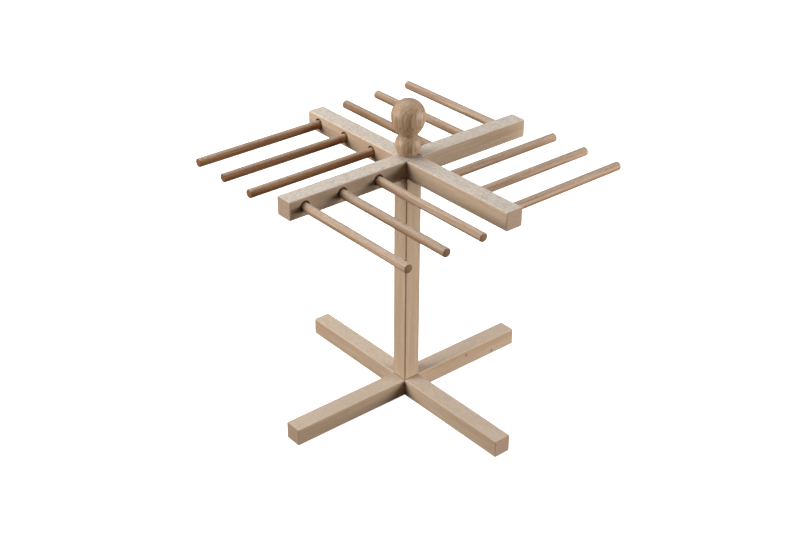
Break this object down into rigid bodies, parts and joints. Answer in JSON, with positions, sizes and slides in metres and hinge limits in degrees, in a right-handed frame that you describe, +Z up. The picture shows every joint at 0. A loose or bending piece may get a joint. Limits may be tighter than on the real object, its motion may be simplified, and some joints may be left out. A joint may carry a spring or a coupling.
{
  "type": "table-top drying rack",
  "caption": "Wooden table-top drying rack: crossed base, square post, crossed top arms with plug-in side dowels in a pinwheel, clamped by a turned ball knob.",
  "frame": {"origin": "middle of the underside of the base cross, on the surface the rack stands on", "axes": "+Z up along the post; +X along the upper arm and one base beam; +Y along the lower arm and the other base beam; front is -Y"},
  "size_m": [0.419, 0.419, 0.4456],
  "materials": {
    "beech_stock": "sanded, unfinished",
    "beech_dowel": "sanded, unfinished",
    "beech_knob": "satin lacquer",
    "zinc_steel": "zinc plated"
  },
  "bodies": {
    "base": {"base_beam_left_right": "beech_stock", "base_beam_front_back": "beech_stock", "post": "beech_stock", "post_insert": "zinc_steel", "base_screw": "zinc_steel"},
    "lower_arm": {"arm_front_back": "beech_stock"},
    "upper_arm": {"arm_left_right": "beech_stock"},
    "stud": {"knob_stud": "zinc_steel"},
    "knob": {"knob": "beech_knob"},
    "dowel_right_inner": {"dowel_right_inner": "beech_dowel"},
    "dowel_right_middle": {"dowel_right_middle": "beech_dowel"},
    "dowel_right_outer": {"dowel_right_outer": "beech_dowel"},
    "dowel_back_inner": {"dowel_back_inner": "beech_dowel"},
    "dowel_back_middle": {"dowel_back_middle": "beech_dowel"},
    "dowel_back_outer": {"dowel_back_outer": "beech_dowel"},
    "dowel_left_inner": {"dowel_left_inner": "beech_dowel"},
    "dowel_left_middle": {"dowel_left_middle": "beech_dowel"},
    "dowel_left_outer": {"dowel_left_outer": "beech_dowel"},
    "dowel_front_inner": {"dowel_front_inner": "beech_dowel"},
    "dowel_front_middle": {"dowel_front_middle": "beech_dowel"},
    "dowel_front_outer": {"dowel_front_outer": "beech_dowel"}
  },
  "joints": [
    {"name": "top_swivel", "type": "hinge", "parent": "base", "child": "lower_arm", "pos_m": [0, 0, 0.341], "axis": [0, 0, 1], "continuous": true},
    {"name": "upper_arm_lift", "type": "slide", "parent": "lower_arm", "child": "upper_arm", "axis": [0, 0, 1], "range_m": [0, 0.045]},
    {"name": "knob_rise", "type": "slide", "parent": "upper_arm", "child": "stud", "axis": [0, 0, 1], "range_m": [0, 0.0151]},
    {"name": "knob_turn", "type": "hinge", "parent": "stud", "child": "knob", "pos_m": [0, 0, 0.367], "axis": [0, 0, 1], "range_deg": [0, 4320]},
    {"name": "pull_right_inner", "type": "slide", "parent": "upper_arm", "child": "dowel_right_inner", "axis": [0, 1, 0], "range_m": [0, 0.04]},
    {"name": "pull_right_middle", "type": "slide", "parent": "upper_arm", "child": "dowel_right_middle", "axis": [0, 1, 0], "range_m": [0, 0.04]},
    {"name": "pull_right_outer", "type": "slide", "parent": "upper_arm", "child": "dowel_right_outer", "axis": [0, 1, 0], "range_m": [0, 0.04]},
    {"name": "pull_back_inner", "type": "slide", "parent": "lower_arm", "child": "dowel_back_inner", "axis": [-1, 0, 0], "range_m": [0, 0.04]},
    {"name": "pull_back_middle", "type": "slide", "parent": "lower_arm", "child": "dowel_back_middle", "axis": [-1, 0, 0], "range_m": [0, 0.04]},
    {"name": "pull_back_outer", "type": "slide", "parent": "lower_arm", "child": "dowel_back_outer", "axis": [-1, 0, 0], "range_m": [0, 0.04]},
    {"name": "pull_left_inner", "type": "slide", "parent": "upper_arm", "child": "dowel_left_inner", "axis": [0, -1, 0], "range_m": [0, 0.04]},
    {"name": "pull_left_middle", "type": "slide", "parent": "upper_arm", "child": "dowel_left_middle", "axis": [0, -1, 0], "range_m": [0, 0.04]},
    {"name": "pull_left_outer", "type": "slide", "parent": "upper_arm", "child": "dowel_left_outer", "axis": [0, -1, 0], "range_m": [0, 0.04]},
    {"name": "pull_front_inner", "type": "slide", "parent": "lower_arm", "child": "dowel_front_inner", "axis": [1, 0, 0], "range_m": [0, 0.04]},
    {"name": "pull_front_middle", "type": "slide", "parent": "lower_arm", "child": "dowel_front_middle", "axis": [1, 0, 0], "range_m": [0, 0.04]},
    {"name": "pull_front_outer", "type": "slide", "parent": "lower_arm", "child": "dowel_front_outer", "axis": [1, 0, 0], "range_m": [0, 0.04]}
  ],
  "couplings": [
    {"joint": "knob_rise", "follows": "knob_turn", "m_per_rad": 0.00019894}
  ]
}
